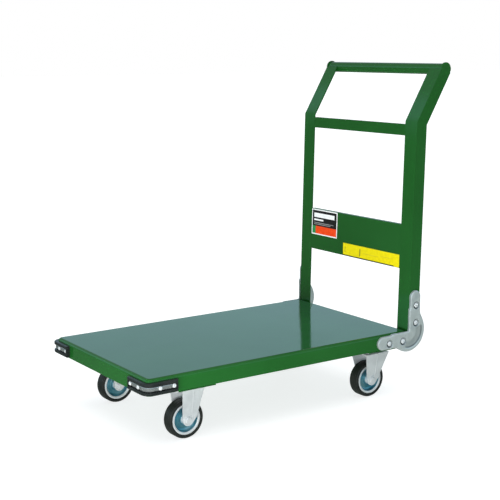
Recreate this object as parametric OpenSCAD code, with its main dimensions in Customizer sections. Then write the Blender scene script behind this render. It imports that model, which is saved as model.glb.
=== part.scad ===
// Platform truck with a fixed push handle. Millimetres, +Z up, the handle end at +X.
// The origin is on the floor, under the middle of the truck's outline.
// Left and right are those of a person who pushes at the handle, so left is -Y.

/* [Deck] */
// Length of the pressed steel deck
deck_l = 750; // [620:10:950]
// Width of the deck
deck_w = 450; // [370:10:600]
// Height of the deck's turned-down sides
deck_h = 38; // [34:1:50]
// Thickness of the deck sheet
deck_t = 2; // [1.2:0.1:2.5]
// Radius of the rounded top edge
deck_edge_r = 8; // [4:1:10]
// Plan radius of the four corners
deck_corner_r = 13; // [10:1:13]
// Width of the return lip under the sides
deck_lip = 12; // [8:1:14]

/* [Handle] */
// Height of the bend above the deck top
bend_h = 522; // [430:1:640]
// Rearward lean of the posts, in degrees
post_lean = 1.5; // [0:0.5:2]
// Angle of the upper section from the vertical, in degrees
grip_lean = 31; // [20:1:40]
// Length of the upper section, from the bend to the middle of the grip
grip_reach = 155; // [125:1:200]
// Width of a post's front flange
post_w = 43; // [36:1:56]
// Depth of a post's side flange
post_d = 32; // [28:1:38]
// Thickness of the post steel
post_t = 3.2; // [2.6:0.1:4]
// Outer diameter of the grip tube
grip_d = 27.2; // [22:0.2:34]
// Wall of the grip tube
grip_t = 2; // [1.5:0.1:3]
// Height of the middle rail's lower edge above the deck top
rail_z = 486; // [340:1:490]
// Height of the middle rail
rail_h = 28; // [20:1:32]
// Height of the lower panel's lower edge above the deck top
panel_z = 152; // [124:1:200]
// Height of the lower panel
panel_h = 112; // [90:1:140]
// Thickness of the rail and panel sheet
panel_t = 2; // [1.2:0.1:3]
// Depth of the rail's and the panel's turned-back edges
panel_d = 12; // [8:1:20]

/* [Corner brackets] */
// Outer radius of the brackets' round corner
bracket_r = 52; // [48:1:60]
// Thickness of the bracket steel
bracket_t = 3; // [2.5:0.1:4]
// Width of the brackets' arms
arm_w = 34; // [30:1:36]
// Distance from the deck's rear top edge to the end of each arm
arm_l = 101; // [92:1:120]
// Diameter of the bracket screws
bracket_screw_d = 6; // [5:0.5:8]

/* [Casters] */
// Diameter of the wheels
wheel_d = 90; // [75:1:100]
// Width of the tread
wheel_w = 30; // [24:1:32]
// Height of the caster from the floor to the top of its plate
caster_h = 124; // [124:1:160]
// Thickness of the fork steel
fork_t = 2.5; // [2:0.1:3]
// Diameter of the wheel axles
axle_d = 10; // [8:0.5:12]
// Diameter of the kingpins
kingpin_d = 12; // [10:0.5:14]
// Distance from the front of the deck to the middle of the front casters' plates
front_inset = 137; // [110:1:180]
// Distance from the rear of the deck to the kingpins
rear_inset = 56; // [54:1:80]
// Distance of a front wheel ahead of the middle of its plate
front_trail = 10; // [0:1:14]
// Distance of a rear wheel ahead of its kingpin
rear_trail = 24; // [18:1:28]
// Distance from the deck's sides to the wheels' middle
caster_inset = 62; // [58:1:80]

/* [Bumpers] */
// Length of each leg of the corner bumpers
bumper_l = 73; // [72:1:100]
// Height of the bumpers
bumper_h = 28; // [24:1:30]
// How far the bumpers stand proud of the deck
bumper_proud = 10; // [8:1:14]

/* [Labels] */
// Size of the identification label, across and up
id_size = [110, 70];
// Size of the load label, across and up
load_size = [222, 33];
// Thickness of the labels
label_t = 0.4; // [0.2:0.1:1]

/* [Hidden] */
$fn = 64;
// Radial clearance of pins and axles in their bores
run_fit = 0.05;
// Gap between the kingpins' heads and the forks' crowns
slide_gap = 0.3;

// Heights above the floor
channel_drop = 8;
deck_base = caster_h + channel_drop;
deck_top = deck_base + deck_h;
axle_z = wheel_d / 2;

// Posts and grip, measured from the deck's rear top edge
post_gap = 3.3;
bend_s = bend_h / cos(post_lean);
low_n = [cos(post_lean), -sin(post_lean)];
upp_n = [cos(grip_lean), -sin(grip_lean)];
function low(s, d) = [post_gap, 0] + s * [sin(post_lean), cos(post_lean)] + d * low_n;
function mitre(d) = low(bend_s, 0) + d * (low_n + upp_n) / (1 + low_n * upp_n);
function upp(s, d) = low(bend_s, 0) + s * [sin(grip_lean), cos(grip_lean)] + d * upp_n;
grip_c = upp(grip_reach, grip_d / 2);
grip_end_r = grip_d / 2 + 3;

// The truck's outline from front to rear sets where the deck lies
overhang = grip_c[0] + grip_end_r;
x_rear = (deck_l + bumper_proud - overhang) / 2;
x_front = x_rear - deck_l;
x_mid = (x_front + x_rear) / 2;

// Half widths of the side faces, which the posts share with the deck
side_y = deck_w / 2;
post_inner_y = side_y - post_w;
post_foot = 36;
arm_in = 4;
arm_r = arm_w / 2;
arm_fillet = 9;
screw_off = arm_in + arm_w / 2 + 3;
screw_at = [18, 63];

// Casters
caster_y = deck_w / 2 - caster_inset;
front_x = x_front + front_inset;
rear_x = x_rear - rear_inset;
plate_t = 3;
plate_w = 66;
front_plate_l = 90;
rear_plate_l = 82;
front_bolts = [37, 22];
rear_bolts = [31, 24];
caster_bolt_d = 8;
ball_d = 6;
ball_ring_r = 20;
ball_count = 16;
race_gap = 0.1;
crown_top = caster_h - plate_t - ball_d - 2 * race_gap;
fork_low_w = wheel_w + 15;
fork_top_w = wheel_w + 33;
fork_bend_z = axle_z + 18;
fork_end_r = 13.5;
fork_bulge = [11, 13];
hub_l = fork_low_w - 2 * fork_t - 1;
hub_r = 12;
channel_w = 96;
rear_channel_x = rear_x - 7;
channel_y = deck_w / 2 - deck_t - deck_lip - 0.5;

// Bumpers: the groove that holds the strip, and the screws
bumper_low = deck_top - 7 - bumper_h;
groove_h = 13;
groove_in = 5;
bumper_end = 4;
strip_t = 1.5;
strip_gap = 0.5;
strip_h = 9;
bumper_screw_d = 5;
bumper_screw_at = [29, 64];

enamel = [0.15, 0.42, 0.2];
zinc = [0.78, 0.8, 0.82];
blue_zinc = [0.45, 0.62, 0.72];
rubber = [0.08, 0.08, 0.08];
yellow = [0.95, 0.8, 0.1];

// ---- shared shapes ----

// A side profile, drawn in X and Z, extruded from y0 to y1
module along_y(y0, y1)
  translate([0, y1, 0]) rotate([90, 0, 0]) linear_extrude(y1 - y0) children();

// A section, drawn in Y and Z, extruded from x0 to x1
module along_x(x0, x1)
  translate([x0, 0, 0]) rotate([90, 0, 90]) linear_extrude(x1 - x0) children();

// A round bar along Y
module y_rod(x, z, y0, y1, d)
  translate([x, y0, z]) rotate([-90, 0, 0]) cylinder(d = d, h = y1 - y0);

// A domed screw head that stands on the face at y and rises towards -Y, in two steps
module round_head(x, z, y, screw_d) {
  y_rod(x, z, y - screw_d * 0.24, y, screw_d * 1.9);
  y_rod(x, z, y - screw_d * 0.5, y - screw_d * 0.24, screw_d * 1.45);
}

// A six-sided nut or head along Y
module y_hex(x, z, y0, y1, across)
  translate([x, y0, z]) rotate([-90, 30, 0]) cylinder(d = across / cos(30), h = y1 - y0, $fn = 6);

// A box between two corners
module block(a, b)
  translate(a) cube(b - a);

// Everything is drawn on the left, and the right-hand pieces are its mirror
module on_right()
  mirror([0, 1, 0]) children();

// A rectangle with round corners, centred
module round_rect(l, w, r) {
  square([l - 2 * r, w], center = true);
  square([l, w - 2 * r], center = true);
  for (x = [-1, 1], y = [-1, 1])
    translate([x * (l / 2 - r), y * (w / 2 - r)]) circle(r);
}

// A quarter disc whose corner is at the origin
module quarter(r)
  intersection() {
    circle(r);
    square(r);
  }

// ---- deck ----

// A solid tray with round corners and a rounded top edge
module tray(l, w, h, corner, edge) {
  linear_extrude(h - edge) round_rect(l, w, corner);
  linear_extrude(h) round_rect(l - 2 * edge, w - 2 * edge, corner - edge);
  for (x = [-1, 1], y = [-1, 1])
    translate([x * (l / 2 - corner), y * (w / 2 - corner), h - edge])
      rotate_extrude() translate([corner - edge, 0]) quarter(edge);
  for (s = [0, 1]) {
    mirror([s, 0, 0]) translate([l / 2 - edge, 0, h - edge])
      along_y(-w / 2 + corner, w / 2 - corner) quarter(edge);
    mirror([0, s, 0]) translate([0, w / 2 - edge, h - edge])
      along_x(-l / 2 + corner, l / 2 - corner) quarter(edge);
  }
}

module deck_panel()
  color(enamel)
    difference() {
      translate([x_mid, 0, deck_base]) tray(deck_l, deck_w, deck_h, deck_corner_r, deck_edge_r);
      translate([x_mid, 0, deck_base + deck_t])
        tray(deck_l - 2 * deck_t, deck_w - 2 * deck_t, deck_h - 2 * deck_t,
             deck_corner_r - deck_t, deck_edge_r - deck_t);
      translate([x_mid, 0, deck_base - 1])
        linear_extrude(deck_t + 2)
          round_rect(deck_l - 2 * deck_t - 2 * deck_lip, deck_w - 2 * deck_t - 2 * deck_lip, 2);
      bumper_holes();
      on_right() bumper_holes();
      deck_screw_holes();
      on_right() deck_screw_holes();
    }

// A stiffening rail under the deck, between the caster channels
module deck_rail_left()
  color(enamel) {
    rail_y = -deck_w / 5;
    half_w = 15;
    low_z = deck_top - deck_t - 25;
    difference() {
      block([front_x + channel_w / 2, rail_y - half_w, low_z],
            [rear_channel_x - channel_w / 2, rail_y + half_w, deck_top - deck_t]);
      block([front_x, rail_y - half_w + deck_t, low_z + deck_t],
            [rear_channel_x, rail_y + half_w - deck_t, deck_top]);
    }
  }

module deck_rail_right() on_right() deck_rail_left();

// A channel across the deck, open upwards, with holes for the casters' bolts
module caster_channel(x, plate_x, bolts)
  color(enamel)
    difference() {
      block([x - channel_w / 2, -channel_y, caster_h], [x + channel_w / 2, channel_y, deck_top - deck_t]);
      block([x - channel_w / 2 + deck_t, -channel_y - 1, caster_h + deck_t],
            [x + channel_w / 2 - deck_t, channel_y + 1, deck_top]);
      for (y = [-caster_y, caster_y])
        bolt_places(plate_x, y, bolts)
          translate([0, 0, caster_h - 1]) cylinder(d = caster_bolt_d + 1, h = deck_t + 2);
    }

module caster_channel_front() caster_channel(front_x, front_x, front_bolts);
module caster_channel_rear() caster_channel(rear_channel_x, rear_x, rear_bolts);

// ---- corner bumpers ----

// Sweeps a section, drawn in outward distance and height, round the left front corner
module round_corner(reach)
  translate([x_front + deck_corner_r, -deck_w / 2 + deck_corner_r, 0]) {
    rotate([0, 0, 180]) rotate_extrude(angle = 90) translate([deck_corner_r, 0]) children();
    translate([0, -deck_corner_r, 0]) rotate([90, 0, 90])
      linear_extrude(reach - deck_corner_r) mirror([1, 0]) children();
    translate([-deck_corner_r, reach - deck_corner_r, 0]) rotate([90, 0, 0])
      linear_extrude(reach - deck_corner_r) mirror([1, 0]) children();
  }

// Puts its child, drawn as a rod pointing outwards along -Y, at each bumper screw
module bumper_screw_places()
  for (s = bumper_screw_at) {
    translate([x_front + s, -deck_w / 2, bumper_low + bumper_h / 2]) children();
    translate([x_front, -deck_w / 2 + s, bumper_low + bumper_h / 2]) rotate([0, 0, -90]) children();
  }

module bumper_holes()
  bumper_screw_places() y_rod(0, 0, -bumper_proud - 1, deck_t + 1, bumper_screw_d + 0.4);

module bumper_left()
  color(rubber)
    difference() {
      translate([0, 0, bumper_low]) round_corner(bumper_l) square([bumper_proud, bumper_h]);
      translate([0, 0, bumper_low + (bumper_h - groove_h) / 2])
        round_corner(bumper_l - bumper_end)
          translate([groove_in, 0]) square([bumper_proud - groove_in + 1, groove_h]);
      bumper_holes();
    }

module bumper_right() on_right() bumper_left();

module bumper_strip_left()
  color(zinc)
    difference() {
      translate([0, 0, bumper_low + (bumper_h - strip_h) / 2])
        round_corner(bumper_l - bumper_end - strip_gap)
          translate([groove_in, 0]) square([strip_t, strip_h]);
      bumper_holes();
    }

module bumper_strip_right() on_right() bumper_strip_left();

// Round-headed screw from outside, nut inside the deck
module bumper_screw() {
  face = -groove_in - strip_t;
  y_rod(0, 0, face, deck_t + bumper_screw_d + 1, bumper_screw_d);
  round_head(0, 0, face, bumper_screw_d);
  y_hex(0, 0, deck_t, deck_t + 4, 8);
}

module bumper_screws()
  color(zinc) {
    bumper_screw_places() bumper_screw();
    on_right() bumper_screw_places() bumper_screw();
  }

// ---- corner brackets, drawn in X and Z from the deck's rear top edge ----

module at_edge()
  translate([x_rear, 0, deck_top]) children();

// One arm, behind the post's front face
module arm_outline() {
  translate([arm_in, -arm_in - arm_w]) square([arm_w, arm_l + arm_in + arm_w - arm_r]);
  translate([arm_in + arm_r, arm_l - arm_r]) circle(arm_r);
}

// Two arms at right angles, the round outer corner and a fillet in the inner one
module bracket_outline() {
  arm_outline();
  rotate(90) mirror([0, 1]) rotate(180) arm_outline();
  difference() {
    circle(bracket_r);
    translate([arm_in - 2 * bracket_r, -arm_in]) square(2 * bracket_r);
  }
  difference() {
    translate([arm_in - arm_fillet, -arm_in]) square(arm_fillet);
    translate([arm_in - arm_fillet, -arm_in + arm_fillet]) circle(arm_fillet);
  }
}

module deck_screw_holes()
  at_edge()
    for (s = screw_at)
      y_rod(-s, -screw_off, -side_y - bracket_t - 1, -side_y + deck_t + 1, bracket_screw_d + 0.4);

module post_screw_holes()
  at_edge()
    for (s = screw_at)
      y_rod(screw_off, s, -side_y - bracket_t - 1, -side_y + post_t + 1, bracket_screw_d + 0.4);

module corner_bracket_left()
  color(zinc)
    difference() {
      at_edge() along_y(-side_y - bracket_t, -side_y) bracket_outline();
      deck_screw_holes();
      post_screw_holes();
    }

module corner_bracket_right() on_right() corner_bracket_left();

// A domed screw from outside with its nut inside; grip is the thickness that it clamps
module bracket_screw(x, z, grip) {
  face = -side_y - bracket_t;
  y_rod(x, z, face, face + grip + 6, bracket_screw_d);
  round_head(x, z, face, bracket_screw_d);
  y_hex(x, z, face + grip, face + grip + 4.5, bracket_screw_d + 4);
}

module deck_screw_pair()
  at_edge()
    for (s = screw_at) bracket_screw(-s, -screw_off, bracket_t + deck_t);

module bracket_deck_screws()
  color(zinc) {
    deck_screw_pair();
    on_right() deck_screw_pair();
  }

module post_screw_pair()
  at_edge()
    for (s = screw_at) bracket_screw(screw_off, s, bracket_t + post_t);

module bracket_post_screws()
  color(zinc) {
    post_screw_pair();
    on_right() post_screw_pair();
  }

// ---- handle ----

// A band of depth d along the post, from s0 below to s1 above the bend
module band(s0, s1, d)
  polygon([low(s0, 0), low(bend_s, 0), upp(s1, 0), upp(s1, d), mitre(d), low(s0, d)]);

// An angle section: the front flange faces the deck, the side flange is flush with its side
module post_left()
  color(enamel)
    difference() {
      at_edge() {
        along_y(-side_y, -post_inner_y) band(-post_foot, grip_reach - 6, post_t);
        along_y(-side_y, -side_y + post_t) band(-post_foot, grip_reach, post_d);
        along_y(-side_y, -side_y + post_t) translate(grip_c) circle(grip_end_r);
      }
      at_edge()
        y_rod(grip_c[0], grip_c[1], -side_y + post_t, -post_inner_y + 1, grip_d + 2 * run_fit);
      post_screw_holes();
    }

module post_right() on_right() post_left();

// The tube ends against the posts' side flanges, which close it
module grip_tube()
  color(enamel) {
    end_y = side_y - post_t;
    at_edge() difference() {
      y_rod(grip_c[0], grip_c[1], -end_y, end_y, grip_d);
      y_rod(grip_c[0], grip_c[1], -end_y - 1, end_y + 1, grip_d - 2 * grip_t);
    }
  }

// A sheet between the posts with its upper and lower edges turned back
module cross_sheet(z0, z1)
  color(enamel)
    at_edge() along_y(-post_inner_y, post_inner_y)
      difference() {
        polygon([low(z0, 0), low(z1, 0), low(z1, panel_d), low(z0, panel_d)]);
        polygon([low(z0 + panel_t, panel_t), low(z1 - panel_t, panel_t),
                 low(z1 - panel_t, panel_d + 1), low(z0 + panel_t, panel_d + 1)]);
      }

module mid_rail() cross_sheet(rail_z, rail_z + rail_h);
module lower_panel() cross_sheet(panel_z, panel_z + panel_h);

// A thin plate on the front of the lower panel
module label(y0, z0, size)
  at_edge() along_y(y0, y0 + size[0])
    polygon([low(z0, -label_t), low(z0 + size[1], -label_t), low(z0 + size[1], 0), low(z0, 0)]);

module label_id()
  color("black") label(post_inner_y - 2 - id_size[0], panel_z + panel_h - id_size[1] - 1, id_size);

module label_load()
  color(yellow) label(-post_inner_y + 2, panel_z + 1, load_size);

// ---- casters ----

module bolt_places(x, y, half)
  for (i = [-1, 1], j = [-1, 1])
    translate([x + i * half[0], y + j * half[1], 0]) children();

// A flat plate under the channel with four bolt holes
module caster_plate(x, y, length, bolts)
  difference() {
    translate([x, y, caster_h - plate_t]) linear_extrude(plate_t) round_rect(length, plate_w, 8);
    bolt_places(x, y, bolts)
      translate([0, 0, caster_h - plate_t - 1]) cylinder(d = caster_bolt_d + 1, h = plate_t + 2);
  }

// Where a line from p touches a circle of radius r round c, on the side that turn picks
function touch(p, c, r, turn) =
  let (v = p - c, d = norm(v), a = atan2(v[1], v[0]) + turn * acos(r / d))
    c + r * [cos(a), sin(a)];

// The outline of a fork leg, from its top edge down to the round end at the axle.
// The rear edge bulges over a second circle above and behind the axle.
module leg_outline(axle_x, x0, x1, top) {
  axle = [axle_x, axle_z];
  bulge = axle + fork_bulge;
  side = fork_end_r * [fork_bulge[1], -fork_bulge[0]] / norm(fork_bulge);
  translate(axle) circle(fork_end_r);
  translate(bulge) circle(fork_end_r);
  polygon([[x0, top], [x1, top], touch([x1, top], bulge, fork_end_r, -1), bulge + side,
           axle + side, axle, touch([x0, top], axle, fork_end_r, 1)]);
}

// The section of a leg: upright beside the wheel, then flared to the crown
module leg_section(top) {
  low_y = -fork_low_w / 2;
  top_y = -fork_top_w / 2;
  polygon([[low_y, 0], [low_y, fork_bend_z], [top_y, top], [top_y + fork_t, top],
           [low_y + fork_t, fork_bend_z], [low_y + fork_t, 0]]);
}

// Both legs of a fork, drilled for the axle
module fork_legs(axle_x, y, x0, x1, top)
  translate([0, y, 0])
    difference() {
      for (s = [0, 1])
        mirror([0, s, 0]) intersection() {
          along_y(-fork_top_w, 0) leg_outline(axle_x, x0, x1, top);
          along_x(x0 - 40, x1 + 40) leg_section(top);
        }
      y_rod(axle_x, axle_z, -fork_top_w, fork_top_w, axle_d + 2 * run_fit);
    }

module front_fork_left()
  color(zinc) {
    caster_plate(front_x, -caster_y, front_plate_l, front_bolts);
    fork_legs(front_x - front_trail, -caster_y, front_x - 29, front_x + 29, caster_h - plate_t + 0.5);
  }

module front_fork_right() on_right() front_fork_left();

// The swivel plate and its ball race
module rear_plate_left()
  color(zinc)
    difference() {
      union() {
        caster_plate(rear_x, -caster_y, rear_plate_l, rear_bolts);
        translate([rear_x, -caster_y, caster_h - plate_t - 4]) difference() {
          cylinder(r = ball_ring_r + ball_d / 2 + 3, h = 4.5);
          translate([0, 0, -1]) cylinder(r = ball_ring_r + ball_d / 2 + 0.5, h = 5);
        }
      }
      translate([rear_x, -caster_y, caster_h - plate_t - 1])
        cylinder(d = kingpin_d + 2 * run_fit, h = plate_t + 2);
    }

module rear_plate_right() on_right() rear_plate_left();

module rear_balls_left()
  color(zinc)
    for (i = [0 : ball_count - 1])
      translate([rear_x, -caster_y, crown_top + race_gap + ball_d / 2])
        rotate([0, 0, i * 360 / ball_count]) translate([ball_ring_r, 0, 0]) sphere(d = ball_d);

module rear_balls_right() on_right() rear_balls_left();

// Riveted into the plate; its lower head carries the fork
module kingpin_left()
  color(zinc) {
    head_top = crown_top - fork_t - slide_gap;
    translate([rear_x, -caster_y, head_top - 3]) cylinder(d = kingpin_d + 10, h = 3);
    translate([rear_x, -caster_y, head_top - 1]) cylinder(d = kingpin_d, h = caster_h - head_top + 0.9);
  }

module kingpin_right() on_right() kingpin_left();

module rear_fork_left()
  color(zinc)
    difference() {
      union() {
        fork_legs(rear_x - rear_trail, -caster_y, rear_x - 50, rear_x + 22, crown_top - 0.5);
        block([rear_x - 50, -caster_y - fork_top_w / 2 + 0.2, crown_top - fork_t],
              [rear_x + 22, -caster_y + fork_top_w / 2 - 0.2, crown_top]);
        translate([rear_x, -caster_y, crown_top - fork_t])
          cylinder(r = ball_ring_r + ball_d / 2 + 3, h = fork_t);
      }
      translate([rear_x, -caster_y, crown_top - fork_t - 1])
        cylinder(d = kingpin_d + 2 * run_fit, h = fork_t + 2);
    }

module rear_fork_right() on_right() rear_fork_left();

// Headed axle from outside, nut on the inner side of the fork
module axle(x, y)
  color(zinc) {
    out = y - fork_low_w / 2;
    in = y + fork_low_w / 2;
    y_rod(x, axle_z, out, in + axle_d * 0.9, axle_d);
    y_rod(x, axle_z, out - 1.2, out, axle_d + 9);
    y_rod(x, axle_z, out - 3.4, out - 1.2, axle_d + 4);
    y_hex(x, axle_z, in, in + axle_d * 0.7, axle_d * 1.6);
  }

module front_axle_left() axle(front_x - front_trail, -caster_y);
module front_axle_right() on_right() front_axle_left();
module rear_axle_left() axle(rear_x - rear_trail, -caster_y);
module rear_axle_right() on_right() rear_axle_left();

// Bolt from below the plate, nut inside the channel
module caster_bolt() {
  translate([0, 0, caster_h - plate_t - 3.5])
    cylinder(d = 13 / cos(30), h = 3.5, $fn = 6);
  translate([0, 0, caster_h - plate_t - 1]) cylinder(d = caster_bolt_d, h = plate_t + deck_t + 9);
  translate([0, 0, caster_h + deck_t]) cylinder(d = 13 / cos(30), h = 6, $fn = 6);
}

module caster_bolts()
  color(zinc)
    for (y = [-caster_y, caster_y]) {
      bolt_places(front_x, y, front_bolts) caster_bolt();
      bolt_places(rear_x, y, rear_bolts) caster_bolt();
    }

// ---- wheels, drawn round an axle along Y ----

seat_r = wheel_d / 2 - 12;
seat_w = wheel_w - 7;
shoulder_r = 6;
rim_t = 2.5;
flange_h = 3;
flange_t = 1.6;
flange_gap = 1;
web_w = 6;

module at_wheel(x)
  translate([x, -caster_y, axle_z]) rotate([90, 0, 0]) children();

// Solid rubber tyre with round shoulders, a flat tread and recesses for the rim's flanges
module tyre(x)
  color(rubber)
    at_wheel(x)
      rotate_extrude()
        difference() {
          union() {
            translate([seat_r, -wheel_w / 2 + shoulder_r])
              square([wheel_d / 2 - seat_r, wheel_w - 2 * shoulder_r]);
            translate([seat_r, -wheel_w / 2])
              square([wheel_d / 2 - seat_r - shoulder_r, wheel_w]);
            for (s = [-1, 1])
              translate([wheel_d / 2 - shoulder_r, s * (wheel_w / 2 - shoulder_r)]) circle(shoulder_r);
          }
          for (s = [0, 1])
            mirror([0, s])
              translate([seat_r - 1, seat_w / 2]) square([flange_h + flange_gap + 1, wheel_w]);
        }

// Pressed wheel disc: a band under the tyre, a flange on each side and a thin web
module rim(x)
  color(blue_zinc)
    at_wheel(x)
      rotate_extrude() {
        difference() {
          translate([seat_r - rim_t, -seat_w / 2 - flange_t])
            square([rim_t + flange_h, seat_w + 2 * flange_t]);
          translate([seat_r, -seat_w / 2]) square([flange_h + 1, seat_w]);
        }
        translate([hub_r, -web_w / 2]) square([seat_r - rim_t - hub_r + 0.5, web_w]);
      }

module hub(x)
  color(zinc)
    at_wheel(x)
      difference() {
        translate([0, 0, -hub_l / 2]) cylinder(r = hub_r, h = hub_l);
        translate([0, 0, -hub_l / 2 - 1]) cylinder(d = axle_d + 2 * run_fit, h = hub_l + 2);
      }

front_wheel_x = front_x - front_trail;
rear_wheel_x = rear_x - rear_trail;
module tyre_front_left() tyre(front_wheel_x);
module tyre_front_right() on_right() tyre(front_wheel_x);
module tyre_rear_left() tyre(rear_wheel_x);
module tyre_rear_right() on_right() tyre(rear_wheel_x);
module rim_front_left() rim(front_wheel_x);
module rim_front_right() on_right() rim(front_wheel_x);
module rim_rear_left() rim(rear_wheel_x);
module rim_rear_right() on_right() rim(rear_wheel_x);
module hub_front_left() hub(front_wheel_x);
module hub_front_right() on_right() hub(front_wheel_x);
module hub_rear_left() hub(rear_wheel_x);
module hub_rear_right() on_right() hub(rear_wheel_x);

deck_panel();
deck_rail_left();
deck_rail_right();
caster_channel_front();
caster_channel_rear();
bumper_left();
bumper_right();
bumper_strip_left();
bumper_strip_right();
bumper_screws();
corner_bracket_left();
corner_bracket_right();
bracket_deck_screws();
bracket_post_screws();
post_left();
post_right();
grip_tube();
mid_rail();
lower_panel();
label_id();
label_load();
front_fork_left();
front_fork_right();
front_axle_left();
front_axle_right();
rear_plate_left();
rear_plate_right();
kingpin_left();
kingpin_right();
caster_bolts();
rear_fork_left();
rear_fork_right();
rear_balls_left();
rear_balls_right();
rear_axle_left();
rear_axle_right();
tyre_front_left();
tyre_front_right();
tyre_rear_left();
tyre_rear_right();
rim_front_left();
rim_front_right();
rim_rear_left();
rim_rear_right();
hub_front_left();
hub_front_right();
hub_rear_left();
hub_rear_right();
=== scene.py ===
import math

import bmesh
import bpy
import numpy as np
from mathutils import Matrix, Vector


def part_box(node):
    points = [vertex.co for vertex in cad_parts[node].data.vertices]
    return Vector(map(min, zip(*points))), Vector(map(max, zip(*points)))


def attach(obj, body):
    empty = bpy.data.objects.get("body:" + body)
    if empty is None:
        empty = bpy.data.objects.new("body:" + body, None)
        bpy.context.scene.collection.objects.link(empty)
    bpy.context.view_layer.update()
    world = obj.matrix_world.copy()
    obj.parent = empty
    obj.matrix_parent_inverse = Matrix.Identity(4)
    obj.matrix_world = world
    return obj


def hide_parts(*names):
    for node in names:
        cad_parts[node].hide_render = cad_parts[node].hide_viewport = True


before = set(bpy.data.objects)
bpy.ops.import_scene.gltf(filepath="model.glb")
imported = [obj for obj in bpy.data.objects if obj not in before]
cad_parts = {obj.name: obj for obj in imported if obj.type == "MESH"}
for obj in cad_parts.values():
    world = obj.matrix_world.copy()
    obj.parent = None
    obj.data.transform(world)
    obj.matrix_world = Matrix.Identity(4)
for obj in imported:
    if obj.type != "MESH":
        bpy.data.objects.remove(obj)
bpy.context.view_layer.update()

MM = 0.001
SIDES = {"left": -1, "right": 1}
ENDS = ("front", "rear")
SEAT_GAP = 0.02              # mm between a piece and the CAD face that it lies on


# ---------------------------------------------------------------- mesh tools

SAME_POINT = 2e-7            # metres; vertices nearer than this become one
SHARP = math.radians(40)     # steeper edges of a piece stay sharp


def add_mesh(name, verts, faces, mats, body, smooth=True, stands_for=(), face_mats=None):
    """A mesh piece in the row frame that rides on a body. face_mats gives each face's place in mats."""
    mesh = bpy.data.meshes.new(name)
    mesh.from_pydata([tuple(v) for v in verts], [], [tuple(f) for f in faces])
    if face_mats is not None:
        mesh.polygons.foreach_set("material_index", face_mats)
    mesh.validate()
    bm = bmesh.new()
    bm.from_mesh(mesh)
    bmesh.ops.remove_doubles(bm, verts=bm.verts, dist=SAME_POINT)
    bmesh.ops.recalc_face_normals(bm, faces=bm.faces)
    bm.to_mesh(mesh)
    bm.free()
    for m in mats if isinstance(mats, (list, tuple)) else [mats]:
        mesh.materials.append(m)
    mesh.polygons.foreach_set("use_smooth", [smooth] * len(mesh.polygons))
    mesh.set_sharp_from_angle(angle=SHARP)
    obj = bpy.data.objects.new(name, mesh)
    bpy.context.scene.collection.objects.link(obj)
    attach(obj, body)
    if stands_for:
        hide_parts(*stands_for)
    return obj


class Soup:
    """Collects vertices and faces of several shells into one mesh."""

    def __init__(self):
        self.verts, self.faces, self.mats = [], [], []

    def add(self, verts, faces, mat=0, matrix=None):
        base = len(self.verts)
        for v in verts:
            self.verts.append(tuple(matrix @ Vector(v)) if matrix is not None else tuple(v))
        for f in faces:
            self.faces.append([base + i for i in f])
            self.mats.append(mat)

    def piece(self, name, mats, body, slot, stands_for=(), smooth=True):
        return add_mesh(name, self.verts, self.faces, mats, body, smooth, stands_for, self.mats)


def lathe(profile, segments=64, closed=False, dent=None):
    """Turns (radius, height) points round +Z. An open profile starts or ends on the axis.
    dent(x, y) gives how far a point is pressed in."""
    pts = [(r * MM, h * MM) for r, h in profile]
    verts, rings = [], []
    for r, h in pts:
        if r < 1e-7:
            rings.append([len(verts)])
            verts.append((0, 0, h - (dent(0, 0) if dent else 0)))
            continue
        ring = []
        for k in range(segments):
            a = 2 * math.pi * k / segments
            x, y = r * math.cos(a), r * math.sin(a)
            ring.append(len(verts))
            verts.append((x, y, h - (dent(x, y) if dent else 0)))
        rings.append(ring)
    faces = []
    for a, b in zip(rings, rings[1:] + ([rings[0]] if closed else [])):
        for k in range(segments):
            j = (k + 1) % segments
            if len(a) == 1 and len(b) > 1:
                faces.append((a[0], b[k], b[j]))
            elif len(b) == 1 and len(a) > 1:
                faces.append((a[j], a[k], b[0]))
            elif len(a) > 1 and len(b) > 1:
                faces.append((a[k], b[k], b[j], a[j]))
    return verts, faces


def arc(cx, cy, r, a0, a1, n):
    """Points on an arc, in degrees."""
    return [(cx + r * math.cos(math.radians(a0 + (a1 - a0) * i / n)),
             cy + r * math.sin(math.radians(a0 + (a1 - a0) * i / n))) for i in range(n + 1)]


def aim(origin, z_axis, x_axis=(1, 0, 0)):
    """A placement whose +Z points along z_axis."""
    z = Vector(z_axis).normalized()
    x = Vector(x_axis)
    x = (x - z * x.dot(z)).normalized()
    y = z.cross(x)
    m = Matrix((x, y, z)).transposed().to_4x4()
    m.translation = Vector(origin)
    return m


# ---------------------------------------------------------------- materials

def material(name, metal=0.0, ior=1.5):
    """A new material, with its node tree and its shader."""
    m = bpy.data.materials.new(name)
    m.use_nodes = True
    b = m.node_tree.nodes["Principled BSDF"]
    b.inputs["Metallic"].default_value = metal
    b.inputs["IOR"].default_value = ior
    return m, m.node_tree, b


def noise(nt, scale, detail=3.0):
    """Noise in the piece's own coordinates, in metres."""
    tc = nt.nodes.new("ShaderNodeTexCoord")
    n = nt.nodes.new("ShaderNodeTexNoise")
    n.inputs["Scale"].default_value = scale
    n.inputs["Detail"].default_value = detail
    nt.links.new(tc.outputs["Object"], n.inputs["Vector"])
    return n.outputs["Fac"]


def ramp(nt, fac, stops):
    """A colour for each value of fac, from (place, colour) stops."""
    r = nt.nodes.new("ShaderNodeValToRGB")
    e = r.color_ramp.elements
    while len(e) < len(stops):
        e.new(0.5)
    for k, (at, colour) in enumerate(stops):
        e[k].position = at
        e[k].color = (*colour, 1)
    nt.links.new(fac, r.inputs["Fac"])
    return r.outputs["Color"]


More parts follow.
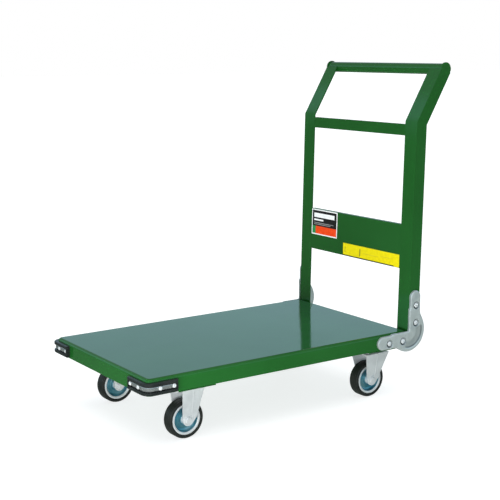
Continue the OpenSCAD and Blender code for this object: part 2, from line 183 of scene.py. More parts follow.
def spread(nt, fac, low, high, f0=0.3, f1=0.7):
    """Takes fac from the range f0 to f1 to the range low to high."""
    r = nt.nodes.new("ShaderNodeMapRange")
    r.inputs["From Min"].default_value = f0
    r.inputs["From Max"].default_value = f1
    r.inputs["To Min"].default_value = low
    r.inputs["To Max"].default_value = high
    nt.links.new(fac, r.inputs["Value"])
    return r.outputs["Result"]


def bump(nt, bsdf, height, strength, distance):
    n = nt.nodes.new("ShaderNodeBump")
    n.inputs["Strength"].default_value = strength
    n.inputs["Distance"].default_value = distance
    nt.links.new(height, n.inputs["Height"])
    nt.links.new(n.outputs["Normal"], bsdf.inputs["Normal"])


def finish_of(name, colours, at, rough, scale, bumps=None, **kw):
    """A finish whose colour and roughness drift with noise. The colours sit at the places in at,
    rough is (lowest, highest) and bumps is (noise scale, strength, distance in metres)."""
    m, nt, b = material(name, **kw)
    nt.links.new(ramp(nt, noise(nt, scale), list(zip(at, colours))), b.inputs["Base Color"])
    nt.links.new(spread(nt, noise(nt, scale * 2.7, 4), *rough), b.inputs["Roughness"])
    if bumps:
        bump_scale, strength, distance = bumps
        bump(nt, b, noise(nt, bump_scale, 2), strength, distance)
    return m


def paint_shade(mat, colour):
    """Paints shade into a finish where the mesh's own painted-shade layer says so, in the hollows of a
    pressing.
    """
    nt = mat.node_tree
    b = nt.nodes["Principled BSDF"]
    clean = b.inputs["Base Color"].links[0].from_socket
    layer = nt.nodes.new("ShaderNodeAttribute")
    layer.attribute_name = "painted_shade"
    mix = nt.nodes.new("ShaderNodeMix")
    mix.data_type = "RGBA"
    nt.links.new(layer.outputs["Fac"], mix.inputs["Factor"])
    rgba = [s for s in mix.inputs if s.type == "RGBA"]
    nt.links.new(clean, rgba[0])
    rgba[1].default_value = (*colour, 1)
    out = [s for s in mix.outputs if s.type == "RGBA"][0]
    nt.links.new(out, b.inputs["Base Color"])


TWO, THREE = [0.35, 0.65], [0.3, 0.5, 0.7]   # where two or three colours sit on the noise

ENAMEL = finish_of("enamel_green",
                   [(0.0072, 0.074, 0.0098), (0.0085, 0.081, 0.0115), (0.010, 0.088, 0.0135)],
                   THREE, (0.06, 0.14), 5, bumps=(420, 0.04, 0.0004), ior=1.5)
ZINC = finish_of("zinc_plate", [(0.66, 0.72, 0.73), (0.80, 0.85, 0.85), (0.72, 0.77, 0.77)],
                 [0.32, 0.5, 0.68], (0.34, 0.46), 38, bumps=(700, 0.08, 0.0003), metal=0.75)
# painted shade: the bracket pressing's hollows are darkened towards this colour
paint_shade(ZINC, (0.055, 0.075, 0.08))
BRIGHT = finish_of("bright_zinc", [(0.78, 0.81, 0.82), (0.87, 0.89, 0.90)],
                   TWO, (0.14, 0.24), 60, bumps=(900, 0.05, 0.0002), metal=0.55)
FORK = finish_of("fork_zinc", [(0.68, 0.70, 0.71), (0.79, 0.81, 0.82)],
                 TWO, (0.30, 0.44), 30, bumps=(800, 0.1, 0.0003), metal=0.6)
BAND = finish_of("band_zinc", [(0.33, 0.35, 0.35), (0.46, 0.48, 0.48)],
                 TWO, (0.16, 0.26), 60, bumps=(900, 0.05, 0.0002), metal=0.8)
BLUE = finish_of("blue_zinc", [(0.05, 0.24, 0.34), (0.14, 0.40, 0.50), (0.30, 0.54, 0.62)],
                 THREE, (0.32, 0.44), 34, bumps=(700, 0.04, 0.0002), metal=0.9)
RUBBER = finish_of("moulded_rubber", [(0.006, 0.008, 0.008), (0.012, 0.014, 0.014)],
                   TWO, (0.22, 0.36), 25, bumps=(1500, 0.2, 0.0003))
TYRE = finish_of("tyre_rubber", [(0.006, 0.007, 0.006), (0.013, 0.014, 0.012)],
                 TWO, (0.42, 0.6), 40, bumps=(1300, 0.3, 0.0003))
STEEL = finish_of("ball_steel", [(0.55, 0.56, 0.58), (0.68, 0.69, 0.70)], TWO, (0.08, 0.16), 80, metal=1.0)


def ink(name, a, b):
    """A printed colour that drifts between a and b. It mirrors less than the plate round it."""
    return finish_of(name, [a, b], TWO, (0.4, 0.5), 120, bumps=(900, 0.04, 0.0002), ior=1.15)


INK_BLACK = ink("label_black", (0.012, 0.012, 0.012), (0.02, 0.02, 0.02))
INK_WHITE = ink("label_white", (0.78, 0.78, 0.77), (0.85, 0.85, 0.84))
INK_YELLOW = ink("label_yellow", (0.70, 0.58, 0.003), (0.78, 0.65, 0.005))
INK_DARK = ink("label_marks", (0.10, 0.09, 0.02), (0.16, 0.14, 0.03))
INK_GREY = ink("label_grey", (0.28, 0.28, 0.28), (0.33, 0.33, 0.33))
INK_FAINT = ink("label_faint", (0.5, 0.42, 0.03), (0.58, 0.48, 0.03))
INK_ORANGE = ink("label_orange", (0.74, 0.050, 0.006), (0.82, 0.070, 0.010))
INK_GREEN = ink("label_green", (0.02, 0.20, 0.06), (0.03, 0.25, 0.08))

# ---------------------------------------------------------------- CAD nodes that stay

WELD_REACH = 2e-5                # metres
FLUSH = math.radians(0.5)        # faces nearer to flush than this become one, so that edges can be rounded
EDGE_FROM = math.radians(35)     # the gentlest edge that is rounded
EDGE_SEGMENTS = 3


def dress(node, mat, width):
    """A kept CAD node gets its finish, and edges rounded by width mm. With a width of 0 they stay."""
    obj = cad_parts[node]
    obj.data.materials.clear()
    obj.data.materials.append(mat)
    obj.data.polygons.foreach_set("use_smooth", [True] * len(obj.data.polygons))
    weld = obj.modifiers.new("weld", "WELD")
    weld.merge_threshold = WELD_REACH
    flat = obj.modifiers.new("flats", "DECIMATE")
    flat.decimate_type = "DISSOLVE"
    flat.angle_limit = FLUSH
    if width:
        bev = obj.modifiers.new("edges", "BEVEL")
        bev.width = width * MM
        bev.segments = EDGE_SEGMENTS
        bev.limit_method = "ANGLE"
        bev.angle_limit = EDGE_FROM
        bev.use_clamp_overlap = True
        bev.harden_normals = True
    norm = obj.modifiers.new("normals", "WEIGHTED_NORMAL")
    norm.keep_sharp = True


for n in ("deck_panel", "deck_rail_left", "deck_rail_right", "caster_channel_front", "caster_channel_rear",
          "post_left", "post_right", "grip_tube", "mid_rail", "lower_panel"):
    dress(n, ENAMEL, 0.6)
for s in SIDES:
    for n in ("front_fork_", "rear_fork_", "rear_plate_"):
        dress(n + s, FORK, 0.5)
    for n in ("front_axle_", "rear_axle_"):
        dress(n + s, FORK, 0.7)
    dress("kingpin_" + s, BRIGHT, 0.5)
    dress("rear_balls_" + s, STEEL, 0)
    for e in ENDS:
        dress(f"hub_{e}_{s}", BRIGHT, 0.4)
dress("caster_bolts", BRIGHT, 0.4)

# ---------------------------------------------------------------- measures from the CAD

deck_lo, deck_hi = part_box("deck_panel")
X_FRONT, X_REAR, DECK_TOP = deck_lo.x / MM, deck_hi.x / MM, deck_hi.z / MM
SIDE_Y = deck_hi.y / MM
CORNER_R = 13.0              # the deck's outer corners, seen from above


def node_mid(name):
    a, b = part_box(name)
    return (a + b) / 2


# ---------------------------------------------------------------- screws

HEAD_SEGMENTS, STUB_SEGMENTS = 72, 32
DOME = 1.25                                          # the dome's radius, in head radii
RECESS_HALF_W, RECESS_HALF_L, RECESS_DEEP = 0.17, 0.52, 0.45   # two in head radii, the last in head heights
RECESS_STEEP = 2.2                                   # how soon the recess reaches its full depth
NUT_CHAMFER, STUB_SUNK, STUB_CHAMFER = 0.5, 0.4, 0.6


def pan_head(r, h):
    """A domed head that stands on z = 0, open below, with a cross recess."""
    profile = [(0, h)] + arc(0, h - DOME * r, DOME * r, 90, 48, 12)[1:]
    shoulder = profile[-1][1]
    profile += [(r * 0.95, shoulder * 0.62), (r, shoulder * 0.3), (r, 0.1), (r * 0.97, 0)]

    def dent(x, y):
        a, b = sorted((abs(x) / MM, abs(y) / MM))
        k = min(1 - a / (RECESS_HALF_W * r), 1 - b / (RECESS_HALF_L * r))
        return RECESS_DEEP * h * MM * max(0.0, min(1.0, RECESS_STEEP * k))
    return lathe(profile, HEAD_SEGMENTS, dent=dent)


def screw_head(soup, place, outward, r, h, spin):
    """A closed head on the surface at place, its recess turned by spin degrees."""
    turn = Matrix.Rotation(math.radians(spin), 4, "Z")
    m = aim([c * MM for c in place], outward, (0, 0, 1)) @ turn
    verts, faces = pan_head(r, h)
    bottom = [i for i, v in enumerate(verts) if abs(v[2]) < 1e-9]
    soup.add(verts, faces + [bottom[::-1]], 0, m)


def hex_nut(soup, place, outward, across, h, stub_r, stub):
    """A chamfered nut on the surface at place, with stub mm of its screw standing out of it."""
    r = across / 2 / math.cos(math.radians(30))
    m = aim([c * MM for c in place], outward, (0, 0, 1))
    verts, faces = lathe([(0, 0), (r * 0.93, 0), (r, NUT_CHAMFER), (r, h - NUT_CHAMFER),
                          (r * 0.9, h), (0, h)], 6)
    soup.add(verts, faces, 0, m)
    verts, faces = lathe([(0, h - STUB_SUNK), (stub_r, h - STUB_SUNK), (stub_r, h + stub - STUB_CHAMFER),
                          (stub_r - STUB_CHAMFER, h + stub), (0, h + stub)], STUB_SEGMENTS)
    soup.add(verts, faces, 0, m)


# ---------------------------------------------------------------- corner brackets
# u runs to the rear and v upward, in mm from the deck's rear top edge. d is the distance to the outline.

ARM_IN, ARM_W, ARM_L, CORNER_OUT = 4.0, 34.0, 101.0, 52.0
MID = ARM_IN + ARM_W / 2
POCKETS = [(MID + 3, 18), (MID + 3, 63), (-18, -MID - 3), (-63, -MID - 3)]
CORNER_BLEND, ARM_BLEND = 10, 5
BRACKET_T, FIELD_H, GROOVE_DEEP, ROLL_H = 3.0, 2.6, 1.5, 0.8
GRID = 0.8                   # mm between the pressing's vertices
POST_SEAT, DECK_SEAT = 3.2, 2.0   # how far behind the side face the nuts sit
BRACKET_HEAD_R, BRACKET_HEAD_H = 6.3, 3.9


def capsule(u, v, a, b, r):
    """Distance to a bar from a to b whose ends are round."""
    pu, pv, bu, bv = u - a[0], v - a[1], b[0] - a[0], b[1] - a[1]
    t = np.clip((pu * bu + pv * bv) / (bu * bu + bv * bv), 0, 1)
    return np.hypot(pu - bu * t, pv - bv * t) - r


def smin(a, b, k):
    """The lesser of two distances, with the crease filled in over k mm."""
    h = np.clip(0.5 + 0.5 * (b - a) / k, 0, 1)
    return b * (1 - h) + a * h - k * h * (1 - h)


def step(lo, hi, x):
    """A smooth climb from 0 at lo to 1 at hi."""
    t = np.clip((x - lo) / (hi - lo), 0, 1)
    return t * t * (3 - 2 * t)


def bracket_distance(u, v):
    """Signed distance to the outline: two arms and the round corner between them."""
    r = ARM_W / 2
    upright = capsule(u, v, (MID, -MID), (MID, ARM_L - r), r)
    along = capsule(u, v, (MID, -MID), (-ARM_L + r, -MID), r)
    corner = np.maximum(np.hypot(u, v) - CORNER_OUT, np.minimum(ARM_IN - u, v + ARM_IN))
    return smin(smin(upright, corner, CORNER_BLEND), smin(along, corner, CORNER_BLEND), ARM_BLEND)


def corner_sweep(u, v):
    """The radius about the deck's edge, and 1 in the quarter that the corner's rolled rim runs round."""
    angle = np.degrees(np.arctan2(v, u))
    return np.hypot(u, v), step(-112, -98, angle) * (1 - step(8, 22, angle))


def bracket_height(u, v, d):
    """How far the pressing stands out: a raised field, a rolled corner rim and round screw pockets."""
    h = FIELD_H * step(0, 3.4, -d)
    radius, quadrant = corner_sweep(u, v)
    h = h - GROOVE_DEEP * quadrant * step(22, 30, radius) * (1 - step(41.0, 43.0, radius))
    h = h + ROLL_H * quadrant * step(43, 45.5, radius) * step(0, 2.5, -d)
    for cu, cv in POCKETS:
        h = h * step(7.6, 11.4, np.hypot(u - cu, v - cv))
    return h


def bracket_painted_shade(u, v, d):
    """How much painted shade the hollows get: crescents round the screws, the groove inside the corner rim,
    the edge.
    """
    radius, quadrant = corner_sweep(u, v)
    g = 0.75 * quadrant * step(38.5, 41.2, radius) * (1 - step(42.2, 44.5, radius))
    g = np.maximum(g, 0.22 * quadrant * step(18, 30, radius) * (1 - step(40, 42, radius)))
    g = np.maximum(g, 0.55 * (1 - step(0.0, 1.6, -d)))
    for cu, cv in POCKETS:
        pu, pv = u - cu, v - cv
        away = np.hypot(pu, pv)
        # the painted shade of each crescent is heaviest on its lower side
        lower = 0.7 + 0.3 * np.clip((-pu * 0.8 - pv * 0.6) / np.maximum(away, 1), -1, 1)
        g = np.maximum(g, lower * step(4.0, 5.4, away) * (1 - step(9.0, 11.4, away)))
    return np.clip(g, 0, 1)


def bracket_grid():
    """Points of a square grid with those near the outline pulled onto it, their distances and the quads."""
    us = np.arange(-ARM_L - 2, CORNER_OUT + 2, GRID)
    vs = np.arange(-CORNER_OUT - 2, ARM_L + 2, GRID)
    uu, vv = np.meshgrid(us, vs, indexing="ij")
    d = bracket_distance(uu, vv)
    eps = 0.05
    for _ in range(3):
        gu = (bracket_distance(uu + eps, vv) - bracket_distance(uu - eps, vv)) / (2 * eps)
        gv = (bracket_distance(uu, vv + eps) - bracket_distance(uu, vv - eps)) / (2 * eps)
        n2 = np.maximum(gu * gu + gv * gv, 0.3)
        near = (d > -0.45 * GRID) & (d < 0.9 * GRID)
        uu = np.where(near, uu - d * gu / n2, uu)
        vv = np.where(near, vv - d * gv / n2, vv)
        d = bracket_distance(uu, vv)
    inside = d < 0.08
    cells = inside[:-1, :-1] & inside[1:, :-1] & inside[1:, 1:] & inside[:-1, 1:]
    used, quads = {}, []
    for i, j in np.argwhere(cells):
        quads.append([used.setdefault(k, len(used))
                      for k in ((i, j), (i + 1, j), (i + 1, j + 1), (i, j + 1))])
    rows, cols = np.array(list(used)).T
    return uu[rows, cols], vv[rows, cols], d[rows, cols], quads


def bracket(side):
    """A pressed plate with a flat back, and a layer of painted shade for its hollows."""
    u, v, d, quads = bracket_grid()
    sign = SIDES[side]
    base = SIDE_Y + SEAT_GAP
    front = np.stack([X_REAR + u, sign * (base + BRACKET_T + bracket_height(u, v, d)), DECK_TOP + v], 1) * MM
    back = np.stack([X_REAR + u, np.full_like(u, sign * base), DECK_TOP + v], 1) * MM
    count = len(u)
    edges = {(a, b) for q in quads for a, b in zip(q, q[1:] + q[:1])}
    rim = [(a, b) for q in quads for a, b in zip(q, q[1:] + q[:1]) if (b, a) not in edges]
    faces = [q[::-1] for q in quads] + [[i + count for i in q] for q in quads]
    faces += [[a, b, b + count, a + count] for a, b in rim]
    obj = add_mesh("bracket_pressing_" + side, np.concatenate([front, back]), faces, ZINC, "truck",
                   stands_for=("corner_bracket_" + side,))
    points = np.empty(3 * len(obj.data.vertices), np.float32)
    obj.data.vertices.foreach_get("co", points)
    u, out, v = (points / MM).reshape(-1, 3).T
    u, v = u - X_REAR, v - DECK_TOP
    # painted shade for the hollows of the raised face, none on the flat back
    painted_shade = bracket_painted_shade(u, v, bracket_distance(u, v)) * (np.abs(out) > base + 1)
    layer = obj.data.attributes.new("painted_shade", "FLOAT", "POINT")
    layer.data.foreach_set("value", painted_shade.astype(np.float32))


for s in SIDES:
    bracket(s)

deck_heads, post_heads = Soup(), Soup()
for s, sign in SIDES.items():
    face = sign * (SIDE_Y + SEAT_GAP + BRACKET_T)
    for k, (cu, cv) in enumerate(POCKETS):
        soup, seat = (post_heads, POST_SEAT) if k < 2 else (deck_heads, DECK_SEAT)
        place = (X_REAR + cu, face, DECK_TOP + cv)
        spin = 20 + 67 * k + (15 if sign > 0 else 0)
        screw_head(soup, place, (0, sign, 0), BRACKET_HEAD_R, BRACKET_HEAD_H, spin)
        inner = (X_REAR + cu, sign * (SIDE_Y - seat), DECK_TOP + cv)
        hex_nut(soup, inner, (0, -sign, 0), 10, 4.5, 3.0, 1.5)
post_heads.piece("post_screw_heads", BRIGHT, "truck", "bright_zinc", ("bracket_post_screws",))
deck_heads.piece("deck_screw_heads", BRIGHT, "truck", "bright_zinc", ("bracket_deck_screws",))

# ---------------------------------------------------------------- corner bumpers
# Sections are (outward, height) points; t is the distance from the nearer end.

bump_lo, bump_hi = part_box("bumper_left")
BUMPER_LOW, BUMPER_H = bump_lo.z / MM, (bump_hi.z - bump_lo.z) / MM
BUMPER_MID = BUMPER_LOW + BUMPER_H / 2
BUMPER_LEG, CORNER_STEPS = 73.0, 12
PROUD, END_ROUND = 10.0, 2.2                # the rubber's depth, and how far its ends fall away
GROOVE, END_WALL, GROOVE_RAMP = 5.0, 3.4, 0.6
LIP, NOSE_R, LIP_R = 7.5, 2.8, 0.8          # the lip's height, and the radii of its outer and inner edge
STRIP_START, STRIP_HALF, STRIP_BACK, STRIP_FACE = 4.5, 4.5, 5.02, 6.8
BUMPER_SCREWS = (29, 64)                    # from the corner, along each leg
BUMPER_HEAD = (4.9, 2.9)                    # radius, height
BUMPER_NUT = (8, 4, 2.5, 2)                 # across, height, screw radius, screw standing out


def bumper_path(sign, start):
    """Points, outward directions and t from start mm past one leg's end, round the corner, to the other's."""
    straight = np.concatenate([[0, 0.5, 1.2, 2.2, 3.4, 4.0, 4.6], np.linspace(6, BUMPER_LEG - CORNER_R, 16)])
    straight = [t for t in straight if t >= start]
    cx, cy = X_FRONT + CORNER_R, SIDE_Y - CORNER_R
    points = [((X_FRONT + BUMPER_LEG - t, SIDE_Y), (0.0, 1.0), t) for t in straight]
    for k in range(1, CORNER_STEPS):
        a = math.radians(90 + 90 / CORNER_STEPS * k)
        points.append(((cx + CORNER_R * math.cos(a), cy + CORNER_R * math.sin(a)),
                       (math.cos(a), math.sin(a)), BUMPER_LEG))
    points += [((X_FRONT, SIDE_Y - BUMPER_LEG + t), (-1.0, 0.0), t) for t in straight[::-1]]
    return [((x, sign * y), (dx, sign * dy), t) for (x, y), (dx, dy), t in points]


def sweep(soup, path, section):
    """A closed solid along the path, with section(t) at each of its points."""
    verts, faces = [], []
    for (x, y), (dx, dy), t in path:
        verts += [((x + dx * d) * MM, (y + dy * d) * MM, z * MM) for d, z in section(t)]
    n, m = len(path), len(section(path[0][2]))
    for i in range(n - 1):
        for j in range(m):
            k = (j + 1) % m
            faces.append((i * m + j, i * m + k, (i + 1) * m + k, (i + 1) * m + j))
    faces.append(tuple(range(m)))
    faces.append(tuple(range((n - 1) * m, n * m))[::-1])
    soup.add(verts, faces)


def bumper_section(t):
    """The rubber with its groove. At the ends the groove closes and the face falls away."""
    proud = PROUD - END_ROUND * (1 - min(t, END_ROUND) / END_ROUND) ** 2
    groove = GROOVE * min(max((t - END_WALL) / GROOVE_RAMP, 0), 1)
    floor_d = min(PROUD - groove, proud)
    nose = [(SEAT_GAP, 0.3), (PROUD - NOSE_R, 0)] + arc(PROUD - NOSE_R, NOSE_R, NOSE_R, -80, 0, 6)
    lip = arc(PROUD - LIP_R, LIP - LIP_R, LIP_R, 0, 90, 4) + [(PROUD - LIP_R - 0.3, LIP)]
    least = floor_d if groove < 1 else 0
    half = [(min(d, proud), z) for d, z in nose] + [(max(min(d, proud), least), z) for d, z in lip]
    half += [(floor_d, LIP + 0.1), (floor_d, BUMPER_H / 2)]
    return ([(d, BUMPER_LOW + z) for d, z in half]
            + [(d, BUMPER_LOW + BUMPER_H - z) for d, z in half[::-1][1:]])


def strip_section(t):
    """The zinc strip, the same all along."""
    low = [(STRIP_BACK, -STRIP_HALF), (STRIP_FACE - 0.7, -STRIP_HALF),
           (STRIP_FACE - 0.3, -STRIP_HALF + 0.5), (STRIP_FACE - 0.05, -2.0)]
    pts = low + [(STRIP_FACE, 0)] + [(d, -z) for d, z in low[::-1]]
    return [(d, BUMPER_MID + z) for d, z in pts]


bumper_heads = Soup()
HEAD_OUT, NUT_IN = STRIP_FACE - 0.1, 2      # heads sit on the strip, nuts behind the deck's sheet
for s, sign in SIDES.items():
    rubber = Soup()
    sweep(rubber, bumper_path(sign, 0), bumper_section)
    rubber.piece("bumper_rubber_" + s, RUBBER, "truck", "rubber", ("bumper_" + s,))
    strip = Soup()
    sweep(strip, bumper_path(sign, STRIP_START), strip_section)
    strip.piece("bumper_band_" + s, BAND, "truck", "bright_zinc", ("bumper_strip_" + s,))
    for k, at in enumerate(BUMPER_SCREWS):
        x, y = X_FRONT + at, sign * (SIDE_Y - at)
        side_y = sign * (SIDE_Y + HEAD_OUT)
        screw_head(bumper_heads, (x, side_y, BUMPER_MID), (0, sign, 0), *BUMPER_HEAD, 31 * k)
        screw_head(bumper_heads, (X_FRONT - HEAD_OUT, y, BUMPER_MID), (-1, 0, 0), *BUMPER_HEAD, 50 + 31 * k)
        hex_nut(bumper_heads, (x, sign * (SIDE_Y - NUT_IN), BUMPER_MID), (0, -sign, 0), *BUMPER_NUT)
        hex_nut(bumper_heads, (X_FRONT + NUT_IN, y, BUMPER_MID), (1, 0, 0), *BUMPER_NUT)
bumper_heads.piece("bumper_screw_heads", BRIGHT, "truck", "bright_zinc", ("bumper_screws",))

# ---------------------------------------------------------------- wheels
# Profiles are (radius, height along the axle) points from the wheel's middle plane.

WHEEL_R, WHEEL_HALF_W, SHOULDER_R = 45.0, 15.0, 5.2
WHEEL_SEGMENTS = 96
FLANGE_FROM = 30.5           # past this radius the rim is plain zinc, inside it blue


def tyre_profile():
    """A solid tyre with a raised bead at the rim, round shoulders and a fine groove in the tread."""
    half = [(33, 0), (33, 11.5), (37.0, 11.5), (37.2, 12.6), (37.9, 13.7), (38.9, 14.4),
            (39.3, 14.2), (39.8, 14.9)]
    half += arc(WHEEL_R - SHOULDER_R, WHEEL_HALF_W - SHOULDER_R, SHOULDER_R, 84, 0, 10)
    half += [(WHEEL_R, 7.0), (WHEEL_R - 0.25, 6.6), (WHEEL_R, 6.2), (WHEEL_R, 2.0)]
    return half + [(r, -y) for r, y in half[::-1] if y > 0]


def rim_profile():
    """Two pressed halves back to back: a rolled flange, a dished web and a collar round the hub."""
    half = [(30.6, 0), (30.6, 10.6), (31.4, 11.48), (32.98, 11.48), (35.6, 11.55), (36.2, 12.2), (36.1, 13.0),
            (35.2, 13.5), (33.6, 13.6), (32.0, 13.1), (30.2, 11.6), (29.2, 9.2), (28.4, 6.4), (26.6, 4.6),
            (23.0, 3.6), (18.0, 3.4), (15.6, 4.0), (14.4, 5.4), (13.6, 8.2), (12.9, 8.8), (12.02, 8.6)]
    return half[1:] + [(r, -y) for r, y in half[::-1][:-1]]


def turned(name, profile, centre, body, mats, slot, stands_for, mat_at=lambda r: 0):
    """A ring turned round a wheel's axle. mat_at gives the material of the band that starts at a radius."""
    soup = Soup()
    verts, faces = lathe(profile, WHEEL_SEGMENTS, closed=True)
    soup.add(verts, faces, 0, aim(centre, (0, -1, 0)))
    soup.mats = [mat_at(r) for r, _ in profile for _ in range(WHEEL_SEGMENTS)]
    soup.piece(name, mats, body, slot, stands_for)


for s in SIDES:
    for e in ENDS:
        at, wheel = f"{e}_{s}", f"wheel_{e}_{s}"
        centre = node_mid("tyre_" + at)
        turned("tyre_ring_" + at, tyre_profile(), centre, wheel, TYRE, "tyre", ("tyre_" + at,))
        turned("wheel_disc_" + at, rim_profile(), centre, wheel, [FORK, BLUE], "blue_zinc", ("rim_" + at,),
               lambda r: 0 if r > FLANGE_FROM else 1)

# ---------------------------------------------------------------- beads on the forks

LEG_HALF, LEG_BEND_Z, LEG_FLARE = 22.5, 63.0, 9.0
BEAD_STOP = {"front": 4.0, "rear": 2.0}     # how far below the fork's top the crease ends
BEAD_HALF_W, BEAD_H, BEAD_BACK, BEAD_END_H = 1.1, 0.9, 10.0, 0.02
BEAD_SECTION = ((-1, -0.3), (-0.8, 0.35), (-0.4, 0.85), (0, 1), (0.4, 0.85), (0.8, 0.35), (1, -0.3))
RING_R, RING_SECTION_R, RING_SUNK = 11.4, 0.85, 0.3


def fork_beads(end, side, body):
    """A pressed crease down each leg behind the axle, and a raised ring round the axle's washer."""
    centre = node_mid(f"tyre_{end}_{side}") / MM
    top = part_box(f"{end}_fork_{side}")[1].z / MM - BEAD_STOP[end]
    levels = [(centre.z - 3, BEAD_END_H), (centre.z, BEAD_H), (LEG_BEND_Z - 3, BEAD_H),
              (LEG_BEND_Z + 3, BEAD_H), (top - 4, BEAD_H), (top, BEAD_END_H)]
    m = len(BEAD_SECTION)
    ring = arc(RING_R, 0.0, RING_SECTION_R, 0, 180, 8)
    ring += [(RING_R - 0.6, -RING_SUNK), (RING_R + 0.6, -RING_SUNK)]
    soup = Soup()
    for way in (-1, 1):
        verts, faces = [], []
        for z, h in levels:
            out = LEG_HALF + LEG_FLARE * max(z - LEG_BEND_Z, 0) / (top + 2 - LEG_BEND_Z)
            for dx, k in BEAD_SECTION:
                y = centre.y + way * (out + h * k)
                verts.append(((centre.x + BEAD_BACK + dx * BEAD_HALF_W) * MM, y * MM, z * MM))
        for i in range(len(levels) - 1):
            for j in range(m):
                k = (j + 1) % m
                faces.append((i * m + j, i * m + k, i * m + m + k, i * m + m + j))
        faces += [tuple(range(m)), tuple(range(m * len(levels) - m, m * len(levels)))[::-1]]
        soup.add(verts, faces)
        verts, faces = lathe(ring, closed=True)
        place = (centre.x * MM, (centre.y + way * LEG_HALF) * MM, centre.z * MM)
        soup.add(verts, faces, 0, aim(place, (0, way, 0)))
    soup.piece(f"fork_beads_{end}_{side}", FORK, body, "zinc_plate")


for s in SIDES:
    fork_beads("front", s, "truck")
    fork_beads("rear", s, "swivel_" + s)

# ---------------------------------------------------------------- labels

PLATE_T, FILM_T, FILM_SUNK = 0.4, 0.08, 0.01


def printed(node, name, slot, areas, base):
    """A label plate with printed fields as thin raised films, on a panel that leans back.
    Areas are across, up, width, height, layer, material."""
    lo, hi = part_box(node)
    wide, high = (hi.y - lo.y) / MM, (hi.z - lo.z) / MM
    lean = (hi.x - lo.x - PLATE_T * MM) / (hi.z - lo.z)
    mats, soup = [base], Soup()

    def box(across, up, w, h, d0, d1, mat):
        corners = []
        for d in (d0, d1):
            for a, b in ((across, up), (across + w, up), (across + w, up + h), (across, up + h)):
                z = lo.z + b * MM
                corners.append((lo.x + lean * (z - lo.z) + (PLATE_T - d) * MM, hi.y - a * MM, z))
        sides = [(0, 3, 2, 1), (4, 5, 6, 7), (0, 1, 5, 4), (1, 2, 6, 5), (2, 3, 7, 6), (3, 0, 4, 7)]
        soup.add(corners, sides, mat)

    box(0, 0, wide, high, 0.0, PLATE_T, 0)
    for across, up, w, h, layer, mat in areas:
        if mat not in mats:
            mats.append(mat)
        box(across, up, w, h, PLATE_T - FILM_SUNK, PLATE_T + FILM_T * layer, mats.index(mat))
    soup.piece(name, mats, "truck", slot, (node,), smooth=False)


printed("label_id", "label_plate_id", "label_dark", [
    (3, 3, 104, 64, 1, INK_BLACK),
    (3, 3, 14.8, 21, 2, INK_GREEN),
    (18, 3, 89, 21, 2, INK_ORANGE),
    (10, 48, 88, 12, 2, INK_WHITE),
    (10, 39, 40, 4.5, 2, INK_WHITE),
    (10, 32, 84, 1.6, 2, INK_GREY),
    (10, 28, 72, 1.6, 2, INK_GREY),
], INK_WHITE)
printed("label_load", "label_plate_load", "label_yellow", [
    (8, 9, 1.2, 15, 1, INK_DARK),
    (68, 6, 3, 20, 1, INK_DARK),
    (84, 15, 60, 0.9, 1, INK_FAINT),
    (152, 18, 46, 0.9, 1, INK_FAINT),
    # a black strip along the plate's lower edge: painted shade of the panel's edge below the label
    (0, 0, 202, 2.4, 1, INK_BLACK),
], INK_YELLOW)

# ---------------------------------------------------------------- floor

FLOOR_HALF, FLOOR_GLOW = 30.0, 0.76      # metres; the glow keeps the shadows light

FLOOR = finish_of("pale_floor", [(0.46, 0.46, 0.46), (0.48, 0.48, 0.48)], TWO, (0.7, 0.8), 2)
floor_shader = FLOOR.node_tree.nodes["Principled BSDF"]
floor_shader.inputs["Emission Color"].default_value = (1, 1, 1, 1)
floor_shader.inputs["Emission Strength"].default_value = FLOOR_GLOW
floor_mesh = bpy.data.meshes.new("floor")
floor_mesh.from_pydata([(x * FLOOR_HALF, y * FLOOR_HALF, 0) for x, y in ((-1, -1), (1, -1), (1, 1), (-1, 1))],
                       [], [(0, 1, 2, 3)])
floor_mesh.materials.append(FLOOR)
floor = bpy.data.objects.new("floor", floor_mesh)
bpy.context.scene.collection.objects.link(floor)
floor.visible_glossy = False

# ---------------------------------------------------------------- light

# The room's colour by height, from straight down (0) through the horizon (0.5) to straight up (1).
SKY_BAND = (0.50, 0.74, 0.88)
ROOM = [(0.0, (0.25, 0.30, 0.28)), (0.545, (0.13, 0.17, 0.14)), (0.575, SKY_BAND), (0.66, SKY_BAND),
        (0.72, (0.34, 0.42, 0.46)), (0.85, (0.26, 0.28, 0.30)), (1.0, (0.4, 0.4, 0.4))]


def studio_sky():
    """White behind the object. For light and reflections, a dim room with a bright cool band a little
    above the horizon."""
    world = bpy.data.worlds.new("studio")
    bpy.context.scene.world = world
    world.use_nodes = True
    wt = world.node_tree
    seen = wt.nodes["Background"]
    seen.inputs["Color"].default_value = (1, 1, 1, 1)
    seen.inputs["Strength"].default_value = 1.0
    room = wt.nodes.new("ShaderNodeBackground")
    room.inputs["Strength"].default_value = 1.0
    tc = wt.nodes.new("ShaderNodeTexCoord")
    sep = wt.nodes.new("ShaderNodeSeparateXYZ")
    wt.links.new(tc.outputs["Generated"], sep.inputs["Vector"])
    wt.links.new(ramp(wt, spread(wt, sep.outputs["Z"], 0, 1, -1, 1), ROOM), room.inputs["Color"])
    path = wt.nodes.new("ShaderNodeLightPath")
    mix = wt.nodes.new("ShaderNodeMixShader")
    wt.links.new(path.outputs["Is Camera Ray"], mix.inputs[0])
    wt.links.new(room.outputs[0], mix.inputs[1])
    wt.links.new(seen.outputs[0], mix.inputs[2])
    wt.links.new(mix.outputs[0], wt.nodes["World Output"].inputs["Surface"])


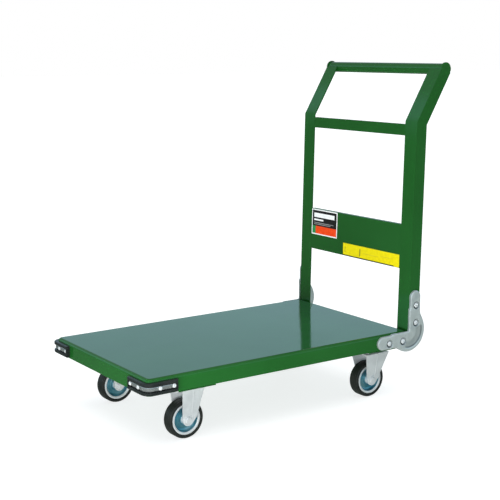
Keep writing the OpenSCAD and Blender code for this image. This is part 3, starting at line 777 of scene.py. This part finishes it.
def lamp(name, kind, place, target, power, size=None, angle=None):
    data = bpy.data.lights.new(name, kind)
    data.energy = power
    if size:
        data.shape = "RECTANGLE"
        data.size, data.size_y = size
    if angle:
        data.angle = math.radians(angle)
    obj = bpy.data.objects.new(name, data)
    obj.location = place
    obj.rotation_euler = (Vector(place) - Vector(target)).to_track_quat("Z", "Y").to_euler()
    bpy.context.scene.collection.objects.link(obj)
    return obj


studio_sky()
overhead = lamp("overhead", "SUN", (-0.6, -0.5, 4), (0, 0, 0), 1.7, angle=60)
overhead.visible_glossy = False

# One lamp near the floor, off the front left corner, split in two: low_key lights the deck's sides
# and glint is what polished faces mirror.
LOW_AT, LOW_TO, LOW_SIZE = (-1.15, -0.98, 0.10), (-0.1, -0.1, 0.16), (1.2, 0.2)
low_key = lamp("low_key", "AREA", LOW_AT, LOW_TO, 22, size=LOW_SIZE)
low_key.visible_camera = False
low_key.visible_glossy = False
glint = lamp("glint", "AREA", LOW_AT, LOW_TO, 4, size=LOW_SIZE)
glint.visible_camera = False
glint.visible_diffuse = False

# ---------------------------------------------------------------- camera

YAW, PITCH, ROLL = math.radians(-34.71), math.radians(10.17), math.radians(-0.14)
CAMERA_AT, FOCAL = (-1.5749, -2.2623, 0.8704), 81.13

forward = Vector((-math.sin(YAW) * math.cos(PITCH), math.cos(YAW) * math.cos(PITCH), -math.sin(PITCH)))
level = Vector((math.cos(YAW), math.sin(YAW), 0))
upright = level.cross(forward)
right = level * math.cos(ROLL) + upright * math.sin(ROLL)
up = upright * math.cos(ROLL) - level * math.sin(ROLL)
cam_data = bpy.data.cameras.new("camera")
cam_data.sensor_width = 36
cam_data.lens = FOCAL
cam_data.clip_start, cam_data.clip_end = 0.05, 100
cam = bpy.data.objects.new("camera", cam_data)
bpy.context.scene.collection.objects.link(cam)
pose = Matrix((right, up, -forward)).transposed().to_4x4()
pose.translation = Vector(CAMERA_AT)
cam.matrix_world = pose
bpy.context.scene.camera = cam
bpy.context.scene.view_settings.view_transform = "Standard"
bpy.context.scene.view_settings.look = "None"
